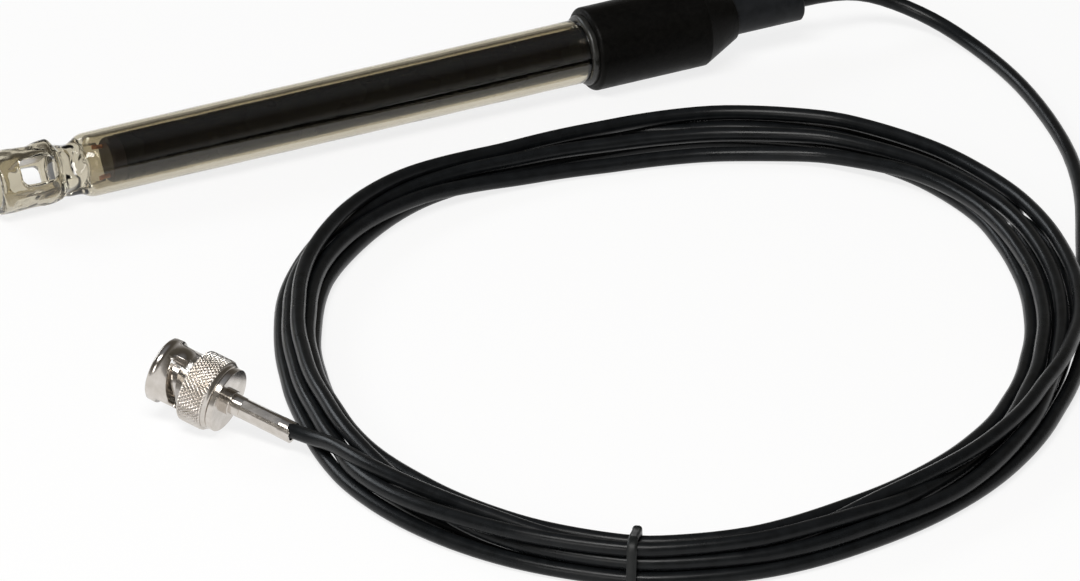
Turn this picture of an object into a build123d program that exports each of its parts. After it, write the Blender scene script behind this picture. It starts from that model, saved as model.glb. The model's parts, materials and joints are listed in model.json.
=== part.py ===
from build123d import *
from math import atan2, cos, degrees, pi, radians, sin, sqrt, tan
import os

os.makedirs("parts", exist_ok=True)

# A two-pole glass conductivity electrode lying on a bench, with its coiled cable and bayonet plug.
# Lengths are millimetres. +X runs along the probe from its tip to its cable, +Z is up, the bench is Z = 0.
# The origin is under the middle of the probe. Places along the probe are measured from its tip.

# Glass body
shaft_r = 6.0
shaft_wall = 1.2
shaft_l = 120.0  # tip to the cap's face
shaft_in_cap = 16.0
cell_r = 5.8  # a little under the shaft, so that a holder slides over the cage
cell_wall = 1.6
cell_depth = 11.8  # open chamber, from the tip to the seal
cell_back = 11.6  # where the cage starts to narrow
seal_l = 6.0  # solid glass at the neck
neck_r = 4.7
neck_from = 13.2
neck_to = 15.0
shoulder_to = 19.4
tip_round = 0.5
land_r = 5.75  # the glass is ground smaller where the sealant and the cap grip it
land_run = 1.0  # and this far in front of the bead
dome_round = 2.2
pinch_r = 3.2  # the tool that pinches the hot neck from two sides
pinch_depth = 0.9

# Windows in the cage
window_turn = 40.0  # degrees above the horizontal, towards -Y
window_from = 4.2
window_to = 11.2
window_w = 4.8
window_round = 1.2

# Platinum plates and their wires
plate_gap = 6.0
plate_t = 0.25
plate_l = 6.4
plate_round = 0.4
wire_r = 0.25
wire_lap = 2.0  # how far the wire is welded along its plate
wire_to = 21.4
seal_gap = 0.02

# Leads, stopper and liner inside the shaft
lead_r = 0.4
lead_from = 20.0
lead_past_glass = 3.0
stopper_from = 22.5
stopper_r = 4.25
stopper_head = 2.5
stopper_spigot = 3.4
sleeve_r = 4.35
sleeve_wall = 0.4
sleeve_short = 2.0  # from the liner's end to the end of the glass
slip_gap = 0.03
solder_wall = 0.38
solder_l = 5.0
solder_past_lead = 1.0

# Cap, sealing bead and boot
cap_r = 7.95
cap_round = 0.9
cap_cylinder = 22.8
cap_l = 30.0
cap_back_r = 4.4
cap_edge = 0.3
glue_gap = 0.05
seat_gap = 0.2
chamber_r = 4.6
chamber_l = 7.2
bead_r = 6.7
bead_l = 1.1
bead_round = 0.6
boot_r = 3.7
boot_out = 14.0
boot_edge = 0.3

# Cable
cable_r = 1.4
core_r = 0.75
conductor_r = 0.24
jacket_in_cap = 2.4  # past the inner end of the boot
core_l = 2.0
conductor_l = 1.2

exit_run = 6.6  # straight on out of the boot

# Coil: an oval ring, seen from above, two layers of cable high
coil_x = 10.5
coil_y = -100.3
coil_turn = 53.0
coil_long = 86.0
coil_short = 71.6
coil_w = 10.4
coil_layers = 2
coil_round = 2.4

# Tie round the coil
tie_at = 186.0  # degrees round the oval from its long axis
tie_w = 1.8
tie_t = 0.6
tie_round = 1.8
tie_head_l = 3.2
tie_head_w = 2.8
tie_head_h = 2.6
tie_head_round = 0.6

# Plug: places along it are measured from the front rim of its nut
plug_x = -83.5
plug_y = -82.0
plug_heading = -54.6
plug_lean = 12.0  # the cable end lies lower
rim_r = 6.0
rim_l = 1.6
rim_edge = 0.25
barrel_r = 5.45
knurl_r = 6.8
knurl_from = 7.1
knurl_to = 12.0
knurl_edge = 0.35
collar_r = 6.2
collar_edge = 0.3
nut_bore_r = 4.85
nut_flange = 1.55
nut_to = 12.85
running_gap = 0.08
entry_w = 2.2
entry_r = 5.2
ramp_from = 3.6
ramp_rise = 2.1
ramp_turn = 95.0
ramp_w = 2.0
catch_r = 1.25
port_w = 1.6  # where an entry opens through the barrel
port_from = 3.0
port_to = 5.9
bayonet_at = 26.0  # the entries' turn from the top of the nut

# Plug body
body_r = 4.05
body_from = 8.6
back_gap = 0.05
back_t = 1.2
back_r = 6.0
back_edge = 0.15
hub_r = 2.35
hub_l = 1.1
stem_r = 1.36
stem_bore_r = 0.8
stem_l = 8.8
groove_from = 9.2
groove_w = 0.5
groove_r = 3.8

# Contacts and insulator
contact_from = 2.4
contact_r = 4.0
contact_wall = 0.55
contact_slots = 4
slot_l = 4.6
slot_w = 0.5
contact_floor = 8.0
spigot_r = 3.3
spigot_wall = 0.35
spigot_to = 10.4
insulator_from = 3.8
insulator_front_r = 2.35
insulator_step = 6.0
insulator_to = 11.9
pin_r = 0.68
pin_from = 2.2
pin_nose = 0.4
pin_to = 13.4
pin_cup_r = 0.75
pin_cup_l = 1.4
pin_cup_bore = 0.45
fit_gap = 0.02

# Rings on the plug body
gasket_r = 4.72
gasket_from = 7.9
gasket_to = 9.15
ring_r = 4.7
ring_t = 0.4
ring_mouth = 60.0  # the snap ring's open angle
spring_h = 1.2
spring_t = 0.28
spring_clear = 0.1
thrust_t = 0.4
thrust_gap = 0.02

# Ferrule
ferrule_r = 1.95
ferrule_wall = 0.49
ferrule_l = 12.6
crimp_in = 2.0  # plain stretch before the crimp
crimp_l = 8.0
crimp_flats = 3.66
crimp_sides = 6
tail_run = 3.7  # straight on out of the ferrule

# How the probe lies: on the cap's front edge and on the tip
lean = degrees(atan2(cap_r - cell_r, shaft_l + cap_round - tip_round))
probe_l = shaft_l + cap_l + boot_out
probe_dir = Vector(cos(radians(lean)), 0, sin(radians(lean)))
tip_height = cell_r * cos(radians(lean)) - tip_round * sin(radians(lean))
tip_place = Vector(-probe_l / 2 * cos(radians(lean)), 0, tip_height)

# How the plug lies: on the back edge of its knurled ring, held up behind by the cable
plug_dir = Vector(
    cos(radians(plug_heading)) * cos(radians(plug_lean)),
    sin(radians(plug_heading)) * cos(radians(plug_lean)),
    -sin(radians(plug_lean)),
)
knurl_rest = knurl_to - knurl_edge
plug_height = knurl_r * cos(radians(plug_lean)) + knurl_rest * sin(radians(plug_lean))
plug_place = Vector(plug_x, plug_y, plug_height)


def lying(start, along):
    """A plane on an axis: its x runs along the axis, its y points up."""
    return Plane(origin=start, x_dir=along, z_dir=along.cross(Vector(0, 0, 1)))


def across(line, distance, side=0.0, rise=0.0):
    """The plane square to a plane's x at a distance along it, with y and z moved by side and rise."""
    place = line.from_local_coords((distance, side, rise))
    return Plane(origin=place, x_dir=line.y_dir, z_dir=line.x_dir)


def spun(line, distance, angle):
    """The plane square to a plane's x at a distance along it, turned about it from its y."""
    return Plane(across(line, distance) * Rot(Z=angle))


def turn(line, *outline, mode=Mode.ADD):
    """Turn an outline of (distance, radius) points about a plane's x."""
    with BuildSketch(line) as section:
        with BuildLine():
            Polyline(*outline, close=True)
        make_face()
    revolve(section.sketch, axis=Axis(line.origin, line.x_dir), mode=mode)


def turn_tube(line, start, end, outer, inner, mode=Mode.ADD):
    """A plain turned tube."""
    turn(line, (start, inner), (end, inner), (end, outer), (start, outer), mode=mode)


def bar(line, start, end, radius, side=0.0, rise=0.0, mode=Mode.ADD):
    """A round bar beside a plane's x."""
    with BuildSketch(across(line, start, side, rise)) as section:
        Circle(radius)
    extrude(section.sketch, amount=end - start, mode=mode)


def rings_at(piece, line, distance):
    """A piece's round edges at one distance along a plane's x, the smallest first."""
    near = []
    for edge in piece.edges().filter_by(GeomType.CIRCLE):
        place = line.to_local_coords(edge.arc_center).X
        if abs(place - distance) < 0.01:
            near.append(edge)
    return ShapeList(near).sort_by(SortBy.RADIUS)


def save(piece, name):
    """Name a finished piece and write it."""
    piece.part.label = name
    export_step(piece.part, f"parts/{name}.step")


def cord_tube(name, points):
    """A cable's tube along straight runs joined by arcs as large as the runs allow."""
    route = [Vector(*point) for point in points]
    radii = []
    for before, corner, after in zip(route, route[1:], route[2:]):
        shorter = min((corner - before).length, (after - corner).length)
        half = (corner - before).get_angle(after - corner) / 2
        radii.append(0.45 * shorter / tan(radians(half)))
    print(name, "radii", [round(radius, 1) for radius in radii])
    with BuildPart() as cord:
        with BuildLine():
            path = FilletPolyline(*route, radius=radii)
        with BuildSketch(Plane(origin=path @ 0, z_dir=path % 0)) as section:
            Circle(cable_r)
        sweep(section.sketch, path=path)
    share = cord.part.volume / (path.length * pi * cable_r**2)
    print(name, "length", round(path.length, 1), "volume share", round(share, 4))
    save(cord, name)


probe = lying(tip_place, probe_dir)
plug = lying(plug_place, plug_dir)

# The cell's plane: x along the probe, z out through the near window, y from one plate to the other
window_dir = probe.z_dir * cos(radians(window_turn)) + probe.y_dir * sin(radians(window_turn))
cell = Plane(origin=tip_place, x_dir=probe_dir, z_dir=window_dir)
cell_bore_r = cell_r - cell_wall
shaft_bore_r = shaft_r - shaft_wall
seal_to = cell_depth + seal_l
glass_l = shaft_l + shaft_in_cap
land_from = shaft_l - bead_l - land_run
plate_out = plate_gap / 2 + plate_t
wire_side = plate_out + wire_r
lead_side = wire_side - wire_r - lead_r - seal_gap
plate_from = (window_from + window_to - plate_l) / 2
wire_from = plate_from + plate_l - wire_lap
lead_to = glass_l + lead_past_glass
sides = ((1, "upper"), (-1, "lower"))

# Glass body: shaft, neck and cage, blown from one tube
with BuildPart() as glass_body:
    with BuildSketch(probe):
        with BuildLine():
            Line((0, cell_bore_r), (0, cell_r))
            Line((0, cell_r), (cell_back, cell_r))
            Spline((cell_back, cell_r), (neck_from, neck_r), tangents=[(1, 0), (1, 0)])
            Line((neck_from, neck_r), (neck_to, neck_r))
            Spline((neck_to, neck_r), (shoulder_to, shaft_r), tangents=[(1, 0), (1, 0)])
            Line((shoulder_to, shaft_r), (land_from, shaft_r))
            Line((land_from, shaft_r), (land_from, land_r))
            Line((land_from, land_r), (glass_l, land_r))
            Line((glass_l, land_r), (glass_l, shaft_bore_r))
            Line((glass_l, shaft_bore_r), (seal_to + dome_round, shaft_bore_r))
            RadiusArc((seal_to + dome_round, shaft_bore_r), (seal_to, shaft_bore_r - dome_round), -dome_round)
            Line((seal_to, shaft_bore_r - dome_round), (seal_to, 0))
            Line((seal_to, 0), (cell_depth, 0))
            Line((cell_depth, 0), (cell_depth, cell_bore_r))
            Line((cell_depth, cell_bore_r), (0, cell_bore_r))
        make_face()
    revolve(axis=Axis(probe.origin, probe.x_dir))
    fillet(rings_at(glass_body, probe, 0), tip_round)
    # Windows through both sides of the cage
    with BuildSketch(cell):
        with Locations(((window_from + window_to) / 2, 0)):
            RectangleRounded(window_to - window_from, window_w, window_round)
    extrude(amount=cell_r + 1, both=True, mode=Mode.SUBTRACT)
    # The neck is pinched on the window sides
    for side in (-1, 1):
        with BuildSketch(Plane(cell.origin, x_dir=cell.x_dir, z_dir=cell.y_dir)):
            with Locations(((neck_from + neck_to) / 2, side * (neck_r + pinch_r - pinch_depth))):
                Circle(pinch_r)
        extrude(amount=cell_r + 1, both=True, mode=Mode.SUBTRACT)
    for side, place in sides:
        bar(cell, cell_depth, seal_to + dome_round, wire_r + seal_gap, side=side * wire_side, mode=Mode.SUBTRACT)
save(glass_body, "glass_body")

# Platinum plates, bedded on the cage's wall by their long edges, and the wires welded behind them
plate_w = 2 * sqrt((cell_bore_r - seal_gap) ** 2 - plate_out**2)
for side, place in sides:
    facing = Plane(cell.origin, x_dir=cell.x_dir, z_dir=cell.y_dir * side)
    with BuildPart() as plate:
        with BuildSketch(facing.offset(plate_gap / 2)):
            with Locations((plate_from + plate_l / 2, 0)):
                RectangleRounded(plate_l, plate_w, plate_round)
        extrude(amount=plate_t)
    save(plate, f"plate_{place}")

    with BuildPart() as platinum_wire:
        bar(cell, wire_from, wire_to, wire_r, side=side * wire_side)
    save(platinum_wire, f"platinum_wire_{place}")

    with BuildPart() as lead_wire:
        bar(cell, lead_from, lead_to, lead_r, side=side * lead_side)
    save(lead_wire, f"lead_wire_{place}")

    solder_to = lead_to + solder_past_lead
    with BuildPart() as solder_sleeve:
        bar(cell, solder_to - solder_l, solder_to, lead_r + slip_gap + solder_wall, side=side * lead_side)
        bar(cell, solder_to - solder_l, solder_to, lead_r + slip_gap, side=side * lead_side, mode=Mode.SUBTRACT)
    save(solder_sleeve, f"solder_sleeve_{place}")

# Stopper at the front of the liner, with a hole for each lead
sleeve_from = stopper_from + stopper_head
stopper_to = sleeve_from + stopper_spigot
spigot_fit = sleeve_r - sleeve_wall - slip_gap
with BuildPart() as sleeve_plug:
    turn(
        probe,
        (stopper_from, 0),
        (stopper_to, 0),
        (stopper_to, spigot_fit),
        (sleeve_from, spigot_fit),
        (sleeve_from, stopper_r),
        (stopper_from, stopper_r),
    )
    fillet(rings_at(sleeve_plug, probe, stopper_from), stopper_head / 4)
    for side, place in sides:
        bar(cell, stopper_from, stopper_to, lead_r + slip_gap, side=side * lead_side, mode=Mode.SUBTRACT)
save(sleeve_plug, "sleeve_plug")

with BuildPart() as inner_sleeve:
    turn_tube(probe, sleeve_from, glass_l - sleeve_short, sleeve_r, sleeve_r - sleeve_wall)
save(inner_sleeve, "inner_sleeve")

# Cap: the glass sits in its mouth, the boot in its back
cap_to = shaft_l + cap_l
glass_seat = glass_l + seat_gap
chamber_to = glass_seat + chamber_l
with BuildPart() as cap:
    turn(
        probe,
        (shaft_l, 0),
        (cap_to, 0),
        (cap_to, cap_back_r),
        (shaft_l + cap_cylinder, cap_r),
        (shaft_l, cap_r),
    )
    fillet(rings_at(cap, probe, shaft_l), cap_round)
    fillet(rings_at(cap, probe, cap_to), cap_edge)
    fillet(rings_at(cap, probe, shaft_l + cap_cylinder), cap_edge)
    turn_tube(probe, shaft_l - 1, glass_seat, land_r + glue_gap, 0, mode=Mode.SUBTRACT)
    turn_tube(probe, glass_seat - 1, chamber_to, chamber_r, 0, mode=Mode.SUBTRACT)
    turn_tube(probe, chamber_to - 1, cap_to + 1, boot_r + slip_gap, 0, mode=Mode.SUBTRACT)
save(cap, "cap")

with BuildPart() as sealing_bead:
    turn_tube(probe, shaft_l - bead_l, shaft_l, bead_r, land_r + slip_gap)
    fillet(rings_at(sealing_bead, probe, shaft_l - bead_l)[-1:], bead_round)
save(sealing_bead, "sealing_bead")

boot_from = chamber_to
boot_to = cap_to + boot_out
with BuildPart() as boot:
    turn_tube(probe, boot_from, boot_to, boot_r, cable_r + slip_gap)
    chamfer(rings_at(boot, probe, boot_to)[-1:], boot_edge)
save(boot, "boot")

# Stripped end of the cable: jacket, core and conductor
jacket_from = boot_from - jacket_in_cap
core_from = jacket_from - core_l
with BuildPart() as cable_end:
    turn(
        probe,
        (core_from - conductor_l, 0),
        (boot_to, 0),
        (boot_to, cable_r),
        (jacket_from, cable_r),
        (jacket_from, core_r),
        (core_from, core_r),
        (core_from, conductor_r),
        (core_from - conductor_l, conductor_r),
    )
save(cable_end, "cable_end")

# Cable from the boot down to the bench and round to the coil
free_route = [
    probe.from_local_coords((boot_to, 0, 0)),
    probe.from_local_coords((boot_to + exit_run, 0, 0)),
    (95.9, -0.3, 7.5),
    (102.2, -3.4, 5.1),
    (107.2, -9.2, 3.0),
    (110.0, -17.2, 1.7),
    (111.2, -27.0, 1.4),
    (111.2, -38.0, 1.4),
    (109.6, -52.5, 1.4),
    (106.6, -66.8, 1.4),
    (101.4, -81.0, 1.4),
    (93.2, -95.8, 1.4),
    (83.2, -109.8, 1.4),
]
cord_tube("cable_free", free_route)

# Coil: the outer shape of its turns, with a groove where the tie draws them together
coil_h = coil_layers * 2 * cable_r
oval = Plane(origin=(coil_x, coil_y, 0), x_dir=(cos(radians(coil_turn)), sin(radians(coil_turn)), 0), z_dir=(0, 0, 1))
mid_long = coil_long - coil_w / 2
mid_short = coil_short - coil_w / 2
tie_angle = radians(tie_at)
tie_centre = oval.from_local_coords((mid_long * cos(tie_angle), mid_short * sin(tie_angle), coil_h / 2))
along_coil = oval.x_dir * (-mid_long * sin(tie_angle)) + oval.y_dir * (mid_short * cos(tie_angle))
tie_plane = Plane(origin=tie_centre, x_dir=along_coil.cross(Vector(0, 0, 1)), z_dir=-along_coil)

with BuildPart() as cable_coil:
    with BuildSketch(oval):
        Ellipse(coil_long, coil_short)
        Ellipse(coil_long - coil_w, coil_short - coil_w, mode=Mode.SUBTRACT)
    extrude(amount=coil_h)
    fillet(cable_coil.edges(), coil_round)
    with BuildSketch(tie_plane):
        Rectangle(2 * coil_w, 2 * coil_h)
        groove = tie_t + slip_gap
        RectangleRounded(coil_w - 2 * groove, coil_h - 2 * groove, tie_round - slip_gap, mode=Mode.SUBTRACT)
    extrude(amount=tie_w / 2 + slip_gap, both=True, mode=Mode.SUBTRACT)
save(cable_coil, "cable_coil")

with BuildPart() as cable_tie:
    with BuildSketch(tie_plane):
        RectangleRounded(coil_w, coil_h, coil_round)
        RectangleRounded(coil_w - 2 * tie_t, coil_h - 2 * tie_t, tie_round, mode=Mode.SUBTRACT)
    extrude(amount=tie_w / 2, both=True)
    # The tie's knob stands on the inner side of the coil
    for root, width in ((tie_t, tie_w), (-slip_gap, tie_head_w)):
        with BuildSketch(tie_plane):
            with Locations((-(coil_w + tie_head_l - root) / 2, (coil_h - tie_head_h) / 2)):
                RectangleRounded(tie_head_l + root, tie_head_h, tie_head_round)
        extrude(amount=width / 2, both=True)
save(cable_tie, "cable_tie")

# Coupling nut: knurled ring, barrel with bayonet ramps, and an inner flange at the back
nut_flange_from = nut_to - nut_flange
with BuildPart() as ramp:
    with BuildLine() as ramp_path:
        Helix(pitch=ramp_rise * 360 / ramp_turn, height=ramp_rise, radius=(nut_bore_r + barrel_r) / 2)
    with BuildSketch(Plane(origin=ramp_path.line @ 0, x_dir=(1, 0, 0), z_dir=ramp_path.line % 0)):
        Rectangle(2 * (rim_r - nut_bore_r), ramp_w)
    sweep(path=ramp_path.line, is_frenet=True)

with BuildPart() as coupling_nut:
    turn(
        plug,
        (0, nut_bore_r),
        (nut_flange_from, nut_bore_r),
        (nut_flange_from, body_r + running_gap),
        (nut_to, body_r + running_gap),
        (nut_to, collar_r),
        (knurl_to, collar_r),
        (knurl_to, knurl_r),
        (knurl_from, knurl_r),
        (knurl_from, barrel_r),
        (rim_l, barrel_r),
        (rim_l, rim_r),
        (0, rim_r),
    )
    chamfer(rings_at(coupling_nut, plug, knurl_from)[-1:], knurl_edge)
    chamfer(rings_at(coupling_nut, plug, knurl_to)[-1:], knurl_edge)
    chamfer(rings_at(coupling_nut, plug, nut_to)[-1:], collar_edge)
    chamfer(rings_at(coupling_nut, plug, 0)[-1:], rim_edge)
    with BuildSketch(spun(plug, 0, bayonet_at)):
        Rectangle(2 * entry_r, entry_w)
    extrude(amount=ramp_from + ramp_w / 2, mode=Mode.SUBTRACT)
    with BuildSketch(spun(plug, port_from, bayonet_at)):
        Rectangle(2 * rim_r, port_w)
    extrude(amount=port_to - port_from, mode=Mode.SUBTRACT)
    for half in (0, 180):
        with Locations(spun(plug, ramp_from, bayonet_at + half)):
            add(ramp.part, mode=Mode.SUBTRACT)
    catch_plane = spun(plug, ramp_from + ramp_rise, bayonet_at + ramp_turn)
    with BuildSketch(Plane(catch_plane.origin, x_dir=catch_plane.z_dir, z_dir=catch_plane.x_dir)):
        Circle(catch_r)
    extrude(amount=rim_r, both=True, mode=Mode.SUBTRACT)
save(coupling_nut, "coupling_nut")

# Plug body: bored for the contacts, a flange behind the nut, and the stem that the cable is crimped on
back_from = nut_to + back_gap
hub_from = back_from + back_t
hub_to = hub_from + hub_l
stem_to = hub_to + stem_l
core_chamber_r = pin_cup_r * 2
with BuildPart() as plug_body:
    turn(
        plug,
        (body_from, spigot_r + fit_gap),
        (spigot_to + fit_gap, spigot_r + fit_gap),
        (spigot_to + fit_gap, spigot_r - spigot_wall),
        (insulator_to, spigot_r - spigot_wall),
        (insulator_to, core_chamber_r),
        (hub_from, core_chamber_r),
        (hub_from, stem_bore_r),
        (stem_to, stem_bore_r),
        (stem_to, stem_r),
        (hub_to, stem_r),
        (hub_to, hub_r),
        (hub_from, hub_r),
        (hub_from, back_r),
        (back_from, back_r),
        (back_from, body_r),
        (groove_from + groove_w, body_r),
        (groove_from + groove_w, groove_r),
        (groove_from, groove_r),
        (groove_from, body_r),
        (body_from, body_r),
    )
    fillet(rings_at(plug_body, plug, hub_from)[-1:], back_edge)
    fillet(rings_at(plug_body, plug, back_from)[-1:], back_edge)
    fillet(rings_at(plug_body, plug, hub_to)[-1:], back_edge)
save(plug_body, "plug_body")

# Outer contact: a slotted spring sleeve with a spigot in the body
with BuildPart() as outer_contact:
    turn(
        plug,
        (contact_from, contact_r - contact_wall),
        (contact_floor, contact_r - contact_wall),
        (contact_floor, spigot_r - spigot_wall),
        (spigot_to, spigot_r - spigot_wall),
        (spigot_to, spigot_r),
        (body_from, spigot_r),
        (body_from, contact_r),
        (contact_from, contact_r),
    )
    with BuildSketch(spun(plug, contact_from, bayonet_at)):
        for slot in range(contact_slots // 2):
            Rectangle(2 * rim_r, slot_w, rotation=slot * 360 / contact_slots)
    extrude(amount=slot_l, mode=Mode.SUBTRACT)
save(outer_contact, "outer_contact")

with BuildPart() as insulator:
    turn(
        plug,
        (insulator_from, pin_r + fit_gap),
        (insulator_to, pin_r + fit_gap),
        (insulator_to, spigot_r - spigot_wall - fit_gap),
        (insulator_step, spigot_r - spigot_wall - fit_gap),
        (insulator_step, insulator_front_r),
        (insulator_from, insulator_front_r),
    )
save(insulator, "insulator")

with BuildPart() as centre_pin:
    turn(
        plug,
        (pin_from, 0),
        (pin_to, 0),
        (pin_to, pin_cup_r),
        (insulator_to + fit_gap, pin_cup_r),
        (insulator_to + fit_gap, pin_r),
        (pin_from, pin_r),
    )
    fillet(rings_at(centre_pin, plug, pin_from), pin_nose)
    bar(plug, pin_to - pin_cup_l, pin_to, pin_cup_bore, mode=Mode.SUBTRACT)
save(centre_pin, "centre_pin")

# Stripped core of the cable in the plug's stem
with BuildPart() as plug_core:
    turn(
        plug,
        (pin_to - pin_cup_l + fit_gap, 0),
        (stem_to, 0),
        (stem_to, core_r),
        (pin_to + fit_gap, core_r),
        (pin_to + fit_gap, conductor_r),
        (pin_to - pin_cup_l + fit_gap, conductor_r),
    )
save(plug_core, "plug_core")

# Rings on the body: gasket, snap ring, bowed spring washer and thrust ring
with BuildPart() as gasket:
    turn_tube(plug, gasket_from, gasket_to, gasket_r, body_r + fit_gap)
    fillet(rings_at(gasket, plug, gasket_from), (gasket_r - body_r) / 3)
save(gasket, "gasket")

ring_from = groove_from + (groove_w - ring_t) / 2
with BuildPart() as retaining_ring:
    turn_tube(plug, ring_from, ring_from + ring_t, ring_r, groove_r + fit_gap)
    with BuildSketch(across(plug, ring_from)):
        mouth = radians(ring_mouth / 2)
        with BuildLine():
            Polyline(
                (0, 0),
                (-2 * ring_r, -2 * ring_r * tan(mouth)),
                (-2 * ring_r, 2 * ring_r * tan(mouth)),
                close=True,
            )
        make_face()
    extrude(amount=ring_t, mode=Mode.SUBTRACT)
save(retaining_ring, "retaining_ring")

spring_from = ring_from + ring_t + thrust_gap
spring_to = spring_from + spring_h
spring_bow = spring_h - spring_t
spring_plane = Plane(across(plug, spring_from).origin, x_dir=plug.y_dir, z_dir=-plug.z_dir)
with BuildPart() as spring_washer:
    with BuildSketch(spring_plane):
        with BuildLine():
            front = ThreePointArc((-ring_r, 0), (0, spring_bow), (ring_r, 0))
            back = ThreePointArc((-ring_r, spring_t), (0, spring_h), (ring_r, spring_t))
            Line(front @ 0, back @ 0)
            Line(front @ 1, back @ 1)
        make_face()
    extrude(amount=ring_r, both=True)
    with BuildSketch(across(plug, spring_from)):
        Circle(ring_r)
        Circle(body_r + spring_clear, mode=Mode.SUBTRACT)
    extrude(amount=spring_h, mode=Mode.INTERSECT)
save(spring_washer, "spring_washer")

with BuildPart() as thrust_ring:
    thrust_from = spring_to + thrust_gap
    turn_tube(plug, thrust_from, thrust_from + thrust_t, nut_bore_r - running_gap, body_r + running_gap)
save(thrust_ring, "thrust_ring")

# Ferrule, crimped to a hexagon over the stem
with BuildPart() as crimp_ferrule:
    turn_tube(plug, hub_to, hub_to + ferrule_l, ferrule_r, ferrule_r - ferrule_wall)
    with BuildSketch(across(plug, hub_to + crimp_in)):
        Circle(ferrule_r + 1)
        RegularPolygon(crimp_flats / 2, crimp_sides, major_radius=False, mode=Mode.SUBTRACT)
    extrude(amount=crimp_l, mode=Mode.SUBTRACT)
save(crimp_ferrule, "crimp_ferrule")

# Cable from the plug into the coil
tail_turn = hub_to + ferrule_l + tail_run
tail_route = [
    plug.from_local_coords((stem_to, 0, 0)),
    plug.from_local_coords((tail_turn, 0, 0)),
    (-62.7, -113.4, 3.6),
]
cord_tube("cable_tail", tail_route)
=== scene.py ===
import json
import math
import bmesh
import bpy
import numpy as np
from mathutils import Matrix, Vector, noise


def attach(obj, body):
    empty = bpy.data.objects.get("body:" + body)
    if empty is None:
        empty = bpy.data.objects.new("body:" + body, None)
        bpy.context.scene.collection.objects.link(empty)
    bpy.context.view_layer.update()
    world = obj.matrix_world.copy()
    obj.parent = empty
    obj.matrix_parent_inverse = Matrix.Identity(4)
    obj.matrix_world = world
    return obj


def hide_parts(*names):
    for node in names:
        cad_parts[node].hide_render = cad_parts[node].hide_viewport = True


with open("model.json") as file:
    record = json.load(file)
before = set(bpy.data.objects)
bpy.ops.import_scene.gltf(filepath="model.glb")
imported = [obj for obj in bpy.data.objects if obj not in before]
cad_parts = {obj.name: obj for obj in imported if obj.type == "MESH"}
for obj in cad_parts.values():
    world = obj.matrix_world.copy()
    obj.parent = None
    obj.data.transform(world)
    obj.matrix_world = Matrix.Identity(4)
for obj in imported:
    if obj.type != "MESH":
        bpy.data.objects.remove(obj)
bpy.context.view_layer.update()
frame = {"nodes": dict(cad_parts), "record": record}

# Sizes shared by the pieces, in millimetres
PROBE_LEAN = math.atan2(7.95 - 5.8, 120.0 + 0.9 - 0.5)
TIP_HEIGHT = 5.8 * math.cos(PROBE_LEAN) - 0.5 * math.sin(PROBE_LEAN)
PLUG_LEAN = math.radians(12.0)
PLUG_HEADING = math.radians(-54.6)
PLUG_HEIGHT = 6.8 * math.cos(PLUG_LEAN) + 11.65 * math.sin(PLUG_LEAN)
CABLE_R = 1.4


def lying(start, along):
    """The matrix of a line: x runs along it, y points up; it takes millimetres to metres."""
    along = along.normalized()
    side = along.cross(Vector((0, 0, 1))).normalized()
    up = side.cross(along)
    place = Matrix((along, up, side)).transposed().to_4x4()
    place.translation = start
    return Matrix.Scale(0.001, 4) @ place


probe = lying(
    Vector((-82.0 * math.cos(PROBE_LEAN), 0, TIP_HEIGHT)),
    Vector((math.cos(PROBE_LEAN), 0, math.sin(PROBE_LEAN))),
)
plug = lying(
    Vector((-83.5, -82.0, PLUG_HEIGHT)),
    Vector((
        math.cos(PLUG_HEADING) * math.cos(PLUG_LEAN),
        math.sin(PLUG_HEADING) * math.cos(PLUG_LEAN),
        -math.sin(PLUG_LEAN),
    )),
)


# Materials
def node(tree, kind, **inputs):
    """A shader node with some of its inputs set or linked."""
    made = tree.nodes.new(kind)
    for name, value in inputs.items():
        socket = made.inputs[name.replace("_", " ")]
        if isinstance(value, bpy.types.NodeSocket):
            tree.links.new(value, socket)
        else:
            socket.default_value = value
    return made


def object_place(tree):
    return node(tree, "ShaderNodeTexCoord").outputs["Object"]


def ramp(tree, factor, *stops):
    """A colour ramp with (position, colour) stops."""
    made = node(tree, "ShaderNodeValToRGB", Fac=factor)
    elements = made.color_ramp.elements
    while len(elements) < len(stops):
        elements.new(0.5)
    for element, (position, colour) in zip(elements, stops):
        element.position = position
        element.color = (*colour, 1)
    return made.outputs["Color"]


def finish_of(name, dark, light, rough, scale=300.0, bump=0.0, bump_scale=None, **fixed):
    """A surface whose colour, roughness and relief vary with noise; rough is its (low, high) roughness."""
    material = bpy.data.materials.new(name)
    material.use_nodes = True
    tree = material.node_tree
    shader = tree.nodes["Principled BSDF"]
    place = object_place(tree)
    mottle = node(tree, "ShaderNodeTexNoise", Vector=place, Scale=scale, Detail=5.0).outputs["Fac"]
    tree.links.new(ramp(tree, mottle, (0.3, dark), (0.7, light)), shader.inputs["Base Color"])
    wear = node(tree, "ShaderNodeTexNoise", Vector=place, Scale=scale * 0.37, Detail=3.0).outputs["Fac"]
    span = node(tree, "ShaderNodeMapRange", Value=wear, To_Min=rough[0], To_Max=rough[1])
    span.inputs["From Min"].default_value = 0.3
    span.inputs["From Max"].default_value = 0.7
    tree.links.new(span.outputs["Result"], shader.inputs["Roughness"])
    if bump:
        grain = node(tree, "ShaderNodeTexNoise", Vector=place, Scale=bump_scale or scale * 4, Detail=4.0)
        relief = node(tree, "ShaderNodeBump", Height=grain.outputs["Fac"], Strength=bump, Distance=0.0001)
        tree.links.new(relief.outputs["Normal"], shader.inputs["Normal"])
    for label, value in fixed.items():
        shader.inputs[label.replace("_", " ")].default_value = value
    return material


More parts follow.
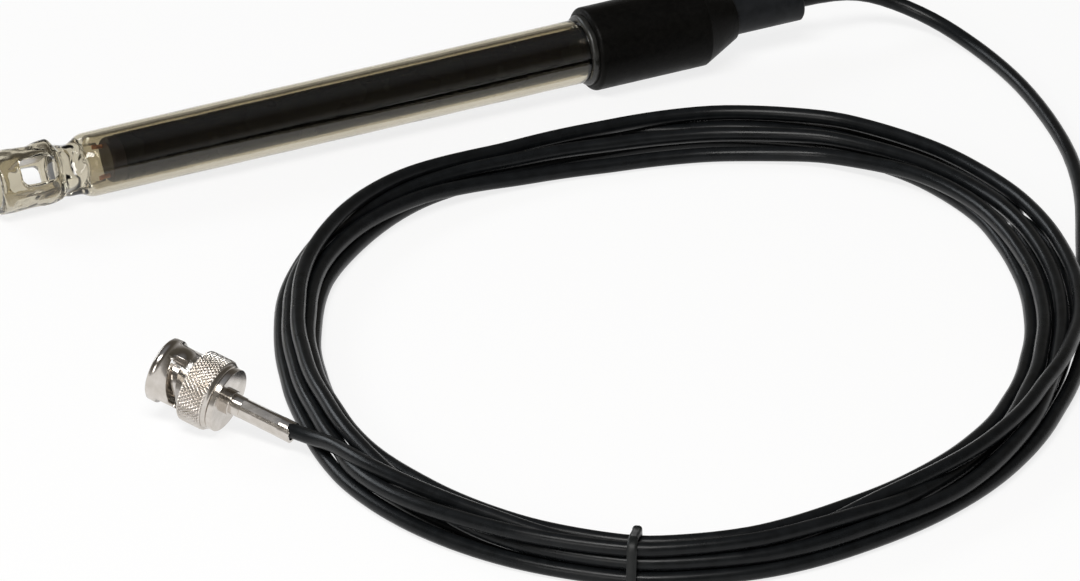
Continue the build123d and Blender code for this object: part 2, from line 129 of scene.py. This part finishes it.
glass = finish_of(
    "clear_glass", (0.52, 0.47, 0.36), (0.60, 0.55, 0.43), (0.0, 0.015), scale=90.0, bump=0.25, bump_scale=160.0,
    Transmission_Weight=1.0, IOR=1.49,
)
platinum = finish_of(
    "platinum", (0.50, 0.47, 0.44), (0.66, 0.62, 0.58), (0.28, 0.45), scale=900.0, bump=0.3, Metallic=1.0,
)
copper = finish_of("copper", (0.62, 0.28, 0.16), (0.80, 0.42, 0.26), (0.3, 0.45), scale=700.0, Metallic=1.0)
stopper = finish_of("stopper", (0.010, 0.006, 0.012), (0.022, 0.014, 0.024), (0.3, 0.5), scale=400.0, bump=0.2)
liner = finish_of(
    "liner", (0.004, 0.0045, 0.004), (0.008, 0.009, 0.008), (0.22, 0.32), scale=250.0, bump=0.12,
    Specular_IOR_Level=0.12,
)
sealant = finish_of("sealant", (0.008, 0.008, 0.007), (0.02, 0.02, 0.018), (0.2, 0.4), scale=500.0, bump=0.5)
cap_plastic = finish_of(
    "cap_plastic", (0.0018, 0.0017, 0.0015), (0.004, 0.0038, 0.0033), (0.34, 0.46), scale=900.0, bump=0.35,
    bump_scale=2600.0, Specular_IOR_Level=0.06,
)
boot_rubber = finish_of(
    "boot_rubber", (0.004, 0.005, 0.006), (0.009, 0.010, 0.012), (0.4, 0.55), scale=600.0, bump=0.3,
    Specular_IOR_Level=0.2,
)
jacket = finish_of(
    "jacket", (0.0035, 0.004, 0.0045), (0.007, 0.008, 0.009), (0.24, 0.36), scale=420.0, bump=0.12,
    Specular_IOR_Level=0.18,
)
core = finish_of("core", (0.70, 0.68, 0.62), (0.85, 0.84, 0.80), (0.4, 0.55), scale=500.0)
tie_plastic = finish_of(
    "tie_plastic", (0.004, 0.005, 0.005), (0.009, 0.010, 0.010), (0.35, 0.5), scale=900.0, bump=0.3,
    Specular_IOR_Level=0.3,
)
nickel = finish_of(
    "nickel", (0.56, 0.52, 0.47), (0.68, 0.64, 0.60), (0.12, 0.24), scale=500.0, bump=0.08, Metallic=1.0,
)
gold = finish_of("gold", (0.72, 0.50, 0.20), (0.86, 0.66, 0.32), (0.15, 0.28), scale=800.0, Metallic=1.0)
white_plastic = finish_of("white_plastic", (0.70, 0.69, 0.66), (0.84, 0.83, 0.80), (0.35, 0.5), scale=600.0)
red_rubber = finish_of("red_rubber", (0.10, 0.03, 0.02), (0.20, 0.06, 0.04), (0.45, 0.6), scale=700.0, bump=0.3)
spring_steel = finish_of("spring_steel", (0.40, 0.39, 0.38), (0.58, 0.57, 0.55), (0.2, 0.35), scale=800.0, Metallic=1.0)

FINISHES = {
    "clear_glass": glass,
    "platinum": platinum,
    "copper": copper,
    "stopper_plastic": stopper,
    "liner_plastic": liner,
    "sealant": sealant,
    "cap_plastic": cap_plastic,
    "boot_rubber": boot_rubber,
    "cable_jacket": jacket,
    "cable_core": core,
    "tie_plastic": tie_plastic,
    "nickel": nickel,
    "gold_pin": gold,
    "white_insulator": white_plastic,
    "gasket_rubber": red_rubber,
    "spring_steel": spring_steel,
}
for part in frame["record"]["subparts"]:
    carried = frame["nodes"][part["node"]]
    carried.data.materials.clear()
    carried.data.materials.append(FINISHES[part["material_slot"]])


# The cable: out of the boot, round the coil clockwise, over the turns and into the plug
COIL_CENTRE = (10.0, -100.0)
STATION = 5.0
FIRST_AT = -10.0
STATIONS = 466
# Bearing round the coil, and the radii between which the turns lie there
COIL_EDGES = (
    (0, 68.5, 78.0), (15, 73.2, 82.6), (30, 76.0, 86.6), (45, 75.4, 91.0), (60, 72.2, 89.6), (75, 69.2, 84.0),
    (90, 69.0, 79.6), (105, 70.2, 79.2), (120, 69.6, 76.8), (135, 68.5, 74.0), (150, 66.0, 71.5),
    (165, 65.5, 71.0), (180, 66.8, 72.8), (195, 69.6, 77.8), (210, 72.8, 81.4), (225, 76.0, 84.3),
    (240, 78.0, 86.2), (255, 75.3, 83.7), (270, 70.2, 79.2), (285, 67.1, 76.1), (300, 64.6, 73.5),
    (315, 62.8, 71.6), (330, 63.0, 72.3), (345, 65.0, 75.0), (360, 68.5, 78.0),
)
# How far clockwise each key place is, and there each turn's place across the bundle (0 inside) and its layer
KEY_ANGLES = (6.0, 60.0, 122.0, 147.0, 170.0, 230.0, 270.0, 300.0)
TURN_PLACES = (
    ((1.0, 0), (1.0, 0), (1.0, 0), (1.0, 0), (1.0, 0), (1.0, 0), (0.95, 0), (0.75, 0)),
    ((0.7, 0), (0.67, 0), (0.67, 0), (0.68, 0), (0.6, 0), (0.55, 0), (0.68, 0), (1.0, 0)),
    ((0.37, 0), (0.34, 0), (0.34, 0), (0.36, 0), (0.05, 0), (0.05, 0), (0.33, 0), (0.4, 0)),
    ((0.0, 0), (0.0, 0), (0.0, 0), (0.0, 0), (0.2, 1), (0.2, 1), (0.0, 0), (0.0, 0)),
    ((0.17, 1), (0.5, 1), (0.85, 2), (0.9, 1), (0.7, 1), (0.75, 1), (0.3, 1), (0.2, 1)),
    ((0.5, 1), (0.83, 1), (0.84, 1), (0.62, 1), (0.5, 2), (0.45, 2), (0.6, 1), (0.8, 1)),
    ((0.85, 1), (0.65, 2), (0.5, 1), (0.4, 1), (0.4, 1), (0.4, 1), (0.4, 1), (0.4, 1)),
)
# Bearing, radius and height of the last stretch, where it climbs over the turns towards the plug
LAST_STRETCH = (
    (230, 80.3, 4.4), (225, 79.3, 4.9), (220, 78.3, 5.5), (215, 77.9, 6.1), (210, 77.6, 6.6), (205, 77.4, 7.0),
    (200, 77.1, 7.4), (195, 76.2, 7.0), (190, 75.1, 5.0), (185, 76.2, 3.1),
)
FREE_ROUTE = (
    (81.9870, 0.0, 8.7141),
    (88.5860, 0.0, 8.8318),
    (95.9, -0.3, 7.5),
    (102.2, -3.4, 5.1),
    (107.2, -9.2, 3.0),
    (110.0, -17.2, 1.7),
    (111.2, -27.0, 1.4),
    (111.2, -38.0, 1.4),
    (109.6, -52.5, 1.4),
    (106.6, -66.8, 1.4),
    (101.4, -81.0, 1.4),
    (94.0, -95.4, 1.4),
)


def coil_turns():
    """Points of the turns: laid at their places, then settled so that they rest on the floor and each other."""
    number = np.arange(STATIONS)
    gone = STATION * number - FIRST_AT
    bearing = (-gone) % 360.0
    places, inside, outside = zip(*COIL_EDGES)
    inner = np.interp(bearing, places, inside)
    outer = np.interp(bearing, places, outside)
    keys = [key + 360.0 * turn for turn in range(len(TURN_PLACES)) for key in KEY_ANGLES]
    across = np.interp(gone, keys, [place[0] for turn in TURN_PLACES for place in turn])
    layer = np.interp(gone, keys, [place[1] for turn in TURN_PLACES for place in turn])
    radius = inner + across * (outer - inner)
    height = CABLE_R * (1 + 1.8 * layer)
    goal_radius = radius.copy()
    pull = np.full(STATIONS, 0.04)
    lift = np.zeros(STATIONS)
    last = len(LAST_STRETCH)
    for step, (at, reach, rise) in enumerate(LAST_STRETCH):
        index = STATIONS - last + step
        radius[index] = goal_radius[index] = reach
        height[index] = rise
        pull[index] = 0.5
        lift[index] = rise
    held = height.copy()
    ring = int(360 / STATION)
    apart = 2.02 * CABLE_R
    for _ in range(600):
        middle = (inner + outer) / 2
        swing = radius - middle
        swing[1:-1] += 0.2 * (swing[:-2] + swing[2:] - 2 * swing[1:-1])
        radius = middle + swing
        height[1:-1] += 0.2 * (height[:-2] + height[2:] - 2 * height[1:-1])
        height -= 0.04
        radius += pull * (goal_radius - radius)
        radius += 0.5 * (np.clip(radius, inner, outer) - radius) * (lift == 0)
        stretch = lift > 0
        height[stretch] += 0.2 * (held[stretch] - height[stretch])
        for turns in range(1, 7):
            for slide in (-1, 0, 1):
                gap = ring * turns + slide
                if gap >= STATIONS:
                    continue
                low = slice(0, STATIONS - gap)
                high = slice(gap, STATIONS)
                away = radius[high] - radius[low]
                above = height[high] - height[low]
                distance = np.maximum(np.hypot(away, above), 1e-6)
                push = 0.3 * np.maximum(apart - distance, 0) / distance
                radius[low] -= push * away
                radius[high] += push * away
                height[low] -= push * above
                height[high] += push * above
        height = np.maximum(height, CABLE_R)
    for _ in range(4):
        height[1:-1] += 0.25 * (height[:-2] + height[2:] - 2 * height[1:-1])
    turn = np.radians(-gone)
    reach = radius / math.cos(math.radians(STATION / 2))
    x = COIL_CENTRE[0] + reach * np.cos(turn)
    y = COIL_CENTRE[1] + reach * np.sin(turn)
    return np.column_stack((x, y, height))


turns = coil_turns()
plug_end = tuple(plug @ Vector((24.0, 0, 0)) * 1000)
route = [*FREE_ROUTE, *map(tuple, turns), plug_end]
line = bpy.data.curves.new("cable", "CURVE")
line.dimensions = "3D"
spline = line.splines.new("NURBS")
spline.points.add(len(route) - 1)
for point, place in zip(spline.points, route):
    point.co = (*(0.001 * value for value in place), 1)
spline.order_u = 3
spline.use_endpoint_u = True
spline.resolution_u = 3
line.bevel_depth = 0.001 * CABLE_R
line.bevel_resolution = 4
line.use_fill_caps = True
cable = bpy.data.objects.new("cable", line)
bpy.context.collection.objects.link(cable)
line.materials.append(jacket)
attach(cable, "electrode")
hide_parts("cable_free", "cable_coil", "cable_tail")
# Meshes made in a line's own millimetres
def settled_mesh(name, mesh, *steps):
    """The mesh of an object once its modifiers, (kind, settings) pairs, have run."""
    blank = bpy.data.objects.new(name, mesh)
    bpy.context.collection.objects.link(blank)
    for kind, settings in steps:
        modifier = blank.modifiers.new(kind, kind)
        for key, value in settings.items():
            setattr(modifier, key, value)
    graph = bpy.context.evaluated_depsgraph_get()
    made = bpy.data.meshes.new_from_object(blank.evaluated_get(graph))
    bpy.data.objects.remove(blank)
    return made


def joined_mesh(name, *meshes):
    work = bmesh.new()
    for mesh in meshes:
        work.from_mesh(mesh)
    made = bpy.data.meshes.new(name)
    work.to_mesh(made)
    return made


def piece_of(name, mesh, place, material, slot, body, *nodes):
    """Put a mesh in the scene as a piece that stands for some CAD nodes."""
    mesh.transform(place)
    for face in mesh.polygons:
        face.use_smooth = True
    mesh.set_sharp_from_angle(angle=math.radians(38))
    mesh.materials.clear()
    mesh.materials.append(material)
    made = bpy.data.objects.new(name, mesh)
    bpy.context.collection.objects.link(made)
    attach(made, body)
    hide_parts(*nodes)
    return made


def cad_mesh(name, place):
    """A CAD node's mesh in the millimetres of a line, with its corners joined up."""
    work = bmesh.new()
    work.from_mesh(frame["nodes"][name].data)
    work.transform(place.inverted())
    bmesh.ops.remove_doubles(work, verts=work.verts, dist=0.002)
    made = bpy.data.meshes.new(name)
    work.to_mesh(made)
    return made


def smooth_step(low, high, value):
    share = min(max((value - low) / (high - low), 0), 1)
    return share * share * (3 - 2 * share)


# Glass: the cage and neck with fire-polished edges and blown lumps, drawn out into the shaft
SHAFT_R = 6.0
SHAFT_BORE_R = 4.8
LAND_R = 5.75
LAND_FROM = 117.9
GLASS_L = 136.0
BLOWN_TO = 21.6
DRAWN_STEPS = 24
VOXEL = 0.2


def blown(place):
    """Where a point of the cage or neck ends up once the glass is blown and pinched."""
    along, up, side = place
    radius = max(math.hypot(up, side), 0.001)
    turn = math.atan2(side, up)
    soft = 1 - smooth_step(12.5, 18.0, along)
    neck = smooth_step(10.5, 12.5, along) * (1 - smooth_step(15.5, 18.5, along))
    lump = 0.45 * noise.noise(0.24 * place + Vector((7.3, 1.1, 4.2)))
    ripple = 0.05 * noise.noise(0.70 * place + Vector((2.1, 8.4, 0.3)))
    fold = 0.22 * neck * math.sin(5 * turn + 0.9 * along)
    grow = soft * (lump + ripple) + fold
    bow = 0.4 * (1 - smooth_step(8, 17, along))
    made = Vector((along, up * (1 + grow / radius) + bow, side * (1 + grow / radius)))
    wall = SHAFT_R if radius > (SHAFT_R + SHAFT_BORE_R) / 2 else SHAFT_BORE_R
    true = smooth_step(19.6, 21.2, along)
    reach = math.hypot(made.y, made.z)
    made.y *= 1 + true * (wall / max(reach, 0.001) - 1)
    made.z *= 1 + true * (wall / max(reach, 0.001) - 1)
    return made


def drawn(work, ring, stations):
    """Draw a ring of edges out along the shaft through (distance, radius) stations."""
    for along, radius in stations:
        made = bmesh.ops.extrude_edge_only(work, edges=ring)["geom"]
        corners = {item for item in made if isinstance(item, bmesh.types.BMVert)}
        ring = [
            item for item in made
            if isinstance(item, bmesh.types.BMEdge) and item.verts[0] in corners and item.verts[1] in corners
        ]
        for corner in corners:
            reach = math.hypot(corner.co.y, corner.co.z)
            corner.co = (along, corner.co.y * radius / reach, corner.co.z * radius / reach)
    return ring


def glass_mesh():
    work = bmesh.new()
    work.from_mesh(cad_mesh("glass_body", probe))
    whole = [*work.verts, *work.edges, *work.faces]
    cut = bmesh.ops.bisect_plane(
        work, geom=whole, plane_co=(BLOWN_TO + 1, 0, 0), plane_no=(1, 0, 0), clear_outer=True,
    )
    rim = [item for item in cut["geom_cut"] if isinstance(item, bmesh.types.BMEdge)]
    bmesh.ops.triangle_fill(work, edges=rim, use_beauty=True)
    front = bpy.data.meshes.new("front")
    work.to_mesh(front)
    soft = settled_mesh(
        "front", front,
        ("REMESH", {"mode": "VOXEL", "voxel_size": VOXEL}),
        ("SMOOTH", {"factor": 0.5, "iterations": 7}),
    )
    work = bmesh.new()
    work.from_mesh(soft)
    for corner in work.verts:
        corner.co = blown(corner.co)
    whole = [*work.verts, *work.edges, *work.faces]
    cut = bmesh.ops.bisect_plane(work, geom=whole, plane_co=(BLOWN_TO, 0, 0), plane_no=(1, 0, 0), clear_outer=True)
    rim = [item for item in cut["geom_cut"] if isinstance(item, bmesh.types.BMEdge)]
    middle = (SHAFT_R + SHAFT_BORE_R) / 2
    outside = [edge for edge in rim if math.hypot(edge.verts[0].co.y, edge.verts[0].co.z) > middle]
    inside = [edge for edge in rim if edge not in outside]
    run = (LAND_FROM - BLOWN_TO) / DRAWN_STEPS
    shaft = [(BLOWN_TO + run * (step + 1), SHAFT_R + 0.02 * math.sin(1.7 * step)) for step in range(DRAWN_STEPS)]
    bore = [(along, SHAFT_BORE_R + 0.03 * math.sin(0.4 * along)) for along, radius in shaft]
    outside = drawn(work, outside, [*shaft, (LAND_FROM, LAND_R), (GLASS_L, LAND_R)])
    inside = drawn(work, inside, [*bore, (GLASS_L, SHAFT_BORE_R)])
    bmesh.ops.bridge_loops(work, edges=[*outside, *inside])
    bmesh.ops.recalc_face_normals(work, faces=work.faces)
    made = bpy.data.meshes.new("glass")
    work.to_mesh(made)
    return made


piece_of("glass", glass_mesh(), probe, glass, "clear_glass", "electrode", "glass_body")

# Nut: the knurled band is cut down and dressed with a ring of crossed grooves
KNURL_FROM = 7.1
KNURL_TO = 12.0
KNURL_R = 6.8
KNURL_EDGE = 0.35
KNURL_STARTS = 52
KNURL_LEAD = 0.98
KNURL_DEPTH = 0.42
CORE_R = 6.3


def lathe(name, outline, steps=256):
    """A closed ring turned from (distance, radius) points."""
    work = bmesh.new()
    rings = []
    for step in range(steps):
        turn = 2 * math.pi * step / steps
        rings.append([work.verts.new((along, r * math.cos(turn), r * math.sin(turn))) for along, r in outline])
    count = len(outline)
    for one, two in zip(rings, rings[1:] + rings[:1]):
        for corner in range(count):
            after = (corner + 1) % count
            work.faces.new((one[corner], one[after], two[after], two[corner]))
    bmesh.ops.recalc_face_normals(work, faces=work.faces)
    made = bpy.data.meshes.new(name)
    work.to_mesh(made)
    return made


def knurl_mesh(around=560, along=60):
    """A ring whose outside carries two crossed sets of slanting grooves."""
    work = bmesh.new()
    rings = []
    for step in range(around):
        share = step / around
        row = [work.verts.new((KNURL_FROM, *spun(share, CORE_R - 0.05)))]
        for mark in range(along + 1):
            place = KNURL_FROM + (KNURL_TO - KNURL_FROM) * mark / along
            rise = min(place - KNURL_FROM, KNURL_TO - place, KNURL_EDGE) - KNURL_EDGE
            slants = [(KNURL_STARTS * share + way * place / KNURL_LEAD) % 1 for way in (-1, 1)]
            ridge = min(1, 1.25 * min(1 - abs(2 * slant - 1) for slant in slants))
            radius = min(KNURL_R + rise, KNURL_R - KNURL_DEPTH * (1 - ridge))
            row.append(work.verts.new((place, *spun(share, radius))))
        row.append(work.verts.new((KNURL_TO, *spun(share, CORE_R - 0.05))))
        rings.append(row)
    count = len(rings[0])
    for one, two in zip(rings, rings[1:] + rings[:1]):
        for corner in range(count):
            after = (corner + 1) % count
            work.faces.new((one[corner], one[after], two[after], two[corner]))
    bmesh.ops.recalc_face_normals(work, faces=work.faces)
    made = bpy.data.meshes.new("knurl")
    work.to_mesh(made)
    return made


def spun(share, radius):
    return radius * math.cos(2 * math.pi * share), radius * math.sin(2 * math.pi * share)


def nut_mesh():
    band = lathe("band", [(KNURL_FROM - 0.2, CORE_R), (KNURL_TO + 0.2, CORE_R), (KNURL_TO + 0.2, 8), (KNURL_FROM - 0.2, 8)])
    cutter = bpy.data.objects.new("cutter", band)
    bpy.context.collection.objects.link(cutter)
    core_mesh = settled_mesh(
        "nut_core", cad_mesh("coupling_nut", plug),
        ("BOOLEAN", {"operation": "DIFFERENCE", "object": cutter, "solver": "EXACT"}),
    )
    bpy.data.objects.remove(cutter)
    return joined_mesh("nut", core_mesh, knurl_mesh())


nut = piece_of("nut", nut_mesh(), plug, nickel, "nickel", "coupling_nut", "coupling_nut")

# Tie: a thin strap round the turns, nipped into a small standing loop at the inner edge
TIE_AT = 239.3
STRAP_W = 1.8
STRAP_T = 0.8
NIP = 0.5
NIP_WAY = (-0.53, 0.85)
KNOB_T = 1.0


def strap_path():
    """Points round the turns where the tie goes, as (radius, height), with their outward directions."""
    cross = []
    bearing = (-(STATION * np.arange(STATIONS) - FIRST_AT)) % 360.0
    reach = np.hypot(turns[:, 0] - COIL_CENTRE[0], turns[:, 1] - COIL_CENTRE[1])
    for step in range(STATIONS - 1):
        if bearing[step] >= TIE_AT > bearing[step + 1] and bearing[step] - bearing[step + 1] < 10:
            share = (bearing[step] - TIE_AT) / STATION
            cross.append((
                reach[step] + share * (reach[step + 1] - reach[step]),
                turns[step, 2] + share * (turns[step + 1, 2] - turns[step, 2]),
            ))
    path = []
    grip = CABLE_R + STRAP_T / 2
    for step in range(96):
        turn = 2 * math.pi * step / 96
        out = (math.cos(turn), math.sin(turn))
        far = max(cross, key=lambda strand: strand[0] * out[0] + strand[1] * out[1])
        nip = NIP * math.exp(-(math.hypot(out[0] - NIP_WAY[0], out[1] - NIP_WAY[1]) / 0.2) ** 2)
        path.append(((far[0] + grip * out[0] + nip * out[0], far[1] + grip * out[1] + nip * out[1]), out))
    return path


def tie_mesh():
    work = bmesh.new()
    bearing = math.radians(TIE_AT)
    outward = Vector((math.cos(bearing), math.sin(bearing), 0))
    onward = Vector((-math.sin(bearing), math.cos(bearing), 0))
    centre = Vector((*COIL_CENTRE, 0))
    rings = []
    for (radius, height), out in strap_path():
        knob = KNOB_T * math.exp(-(math.hypot(out[0] - NIP_WAY[0], out[1] - NIP_WAY[1]) / 0.25) ** 2)
        row = []
        for corner in range(12):
            turn = 2 * math.pi * (corner + 0.5) / 12
            wide = STRAP_W / 2 * math.copysign(abs(math.cos(turn)) ** 0.7, math.cos(turn))
            thick = (STRAP_T + knob) / 2 * math.copysign(abs(math.sin(turn)) ** 0.7, math.sin(turn))
            height_here = max(height + thick * out[1], 0.15)
            row.append(work.verts.new(
                centre + outward * (radius + thick * out[0]) + onward * wide + Vector((0, 0, height_here))
            ))
        rings.append(row)
    for one, two in zip(rings, rings[1:] + rings[:1]):
        for corner in range(12):
            after = (corner + 1) % 12
            work.faces.new((one[corner], one[after], two[after], two[corner]))
    bmesh.ops.recalc_face_normals(work, faces=work.faces)
    made = bpy.data.meshes.new("tie")
    work.to_mesh(made)
    return made


tie = piece_of("tie", tie_mesh(), Matrix.Scale(0.001, 4), tie_plastic, "tie_plastic", "electrode", "cable_tie")

# Floor and light
floor_mesh = bpy.data.meshes.new("floor")
floor_mesh.from_pydata([(-6, -6, 0), (6, -6, 0), (6, 6, 0), (-6, 6, 0)], [], [(0, 1, 2, 3)])
floor = bpy.data.objects.new("floor", floor_mesh)
floor.location.z = -0.0002
bpy.context.collection.objects.link(floor)
floor_look = bpy.data.materials.new("floor")
floor_look.use_nodes = True
tree = floor_look.node_tree
tree.nodes.clear()
rays = node(tree, "ShaderNodeLightPath")
seen = node(tree, "ShaderNodeMath")
seen.operation = "MAXIMUM"
tree.links.new(rays.outputs["Is Camera Ray"], seen.inputs[0])
tree.links.new(rays.outputs["Is Glossy Ray"], seen.inputs[1])
either = node(tree, "ShaderNodeMath")
either.operation = "MAXIMUM"
tree.links.new(seen.outputs[0], either.inputs[0])
tree.links.new(rays.outputs["Is Transmission Ray"], either.inputs[1])
matte = node(tree, "ShaderNodeBsdfDiffuse", Color=(0.9, 0.9, 0.9, 1))
glow = node(tree, "ShaderNodeEmission", Color=(1, 1, 1, 1), Strength=1.0)
pale = node(tree, "ShaderNodeMixShader", Fac=0.8)
tree.links.new(matte.outputs[0], pale.inputs[1])
tree.links.new(glow.outputs[0], pale.inputs[2])
both = node(tree, "ShaderNodeMixShader", Fac=either.outputs[0])
tree.links.new(matte.outputs[0], both.inputs[1])
tree.links.new(pale.outputs[0], both.inputs[2])
surface = node(tree, "ShaderNodeOutputMaterial")
tree.links.new(both.outputs[0], surface.inputs["Surface"])
floor_mesh.materials.append(floor_look)

world = bpy.data.worlds.new("studio")
world.use_nodes = True
bpy.context.scene.world = world
tree = world.node_tree
heading = node(tree, "ShaderNodeTexCoord").outputs["Generated"]
parts = node(tree, "ShaderNodeSeparateXYZ", Vector=heading)
sky = ramp(
    tree, parts.outputs["Z"],
    (0.0, (0.5, 0.5, 0.5)), (0.15, (0.34, 0.33, 0.32)), (0.35, (0.13, 0.12, 0.10)),
    (0.75, (0.09, 0.08, 0.07)), (1.0, (0.25, 0.26, 0.28)),
)
tree.links.new(sky, tree.nodes["Background"].inputs["Color"])
tree.nodes["Background"].inputs["Strength"].default_value = 0.9


def lamp(name, place, aim, size, power, colour=(1, 1, 1)):
    """A soft rectangular lamp."""
    data = bpy.data.lights.new(name, "AREA")
    data.shape = "RECTANGLE"
    data.size, data.size_y = size
    data.energy = power
    data.color = colour
    made = bpy.data.objects.new(name, data)
    made.location = place
    made.rotation_euler = (Vector(aim) - Vector(place)).to_track_quat("-Z", "Y").to_euler()
    bpy.context.collection.objects.link(made)


lamp("key", (-0.45, -0.55, 1.15), (0, -0.08, 0), (0.8, 0.35), 14, (1.0, 0.99, 0.97))
lamp("front", (-1.0, -0.9, 0.5), (0, -0.05, 0), (0.6, 0.5), 4, (1.0, 0.98, 0.95))
lamp("back", (-0.6, 1.0, 0.7), (0, -0.08, 0), (0.9, 0.35), 6, (0.9, 0.95, 1.0))

# Camera
TURN = math.radians(24.815)
DROP = math.radians(28.5)
away = Vector((math.sin(TURN), math.cos(TURN), 0))
view = away * math.cos(DROP) - Vector((0, 0, math.sin(DROP)))
target = Vector((-3.025, -68.788, 0))
lens = bpy.data.cameras.new("camera")
lens.sensor_width = 36
lens.lens = 458.0
lens.clip_start = 0.1
lens.clip_end = 20
camera = bpy.data.objects.new("camera", lens)
camera.location = 0.001 * (target - 2500 * view)
camera.rotation_mode = "QUATERNION"
camera.rotation_quaternion = view.to_track_quat("-Z", "Y")
bpy.context.collection.objects.link(camera)
bpy.context.scene.camera = camera
bpy.context.scene.view_settings.view_transform = "Standard"
